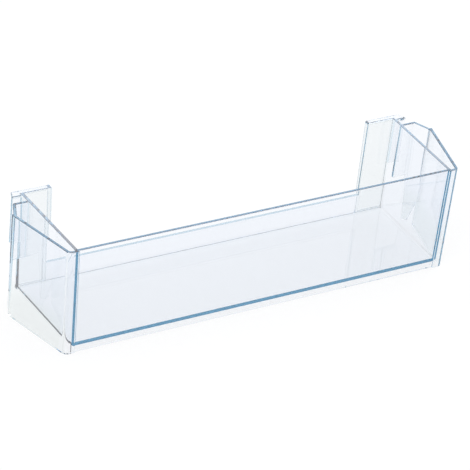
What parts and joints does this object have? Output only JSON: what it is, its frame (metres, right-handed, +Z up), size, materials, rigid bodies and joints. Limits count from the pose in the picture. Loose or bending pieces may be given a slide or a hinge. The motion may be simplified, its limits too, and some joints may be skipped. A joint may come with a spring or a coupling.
{
  "type": "fridge door shelf",
  "caption": "Clear moulded shelf for a fridge door: long tray with a tall front wall, low back lip, raised back ears and splayed hollow end brackets that slide down over lugs.",
  "frame": {"origin": "middle of the footprint, at the bottom of the lower rim", "axes": "+X along the shelf to the right seen from the front, +Y towards the door, +Z up"},
  "size_m": [0.45, 0.1114, 0.108],
  "materials": {
    "clear_plastic": "clear, polished, faintly blue"
  },
  "bodies": {
    "root": {"door_shelf": "clear_plastic"}
  },
  "joints": []
}
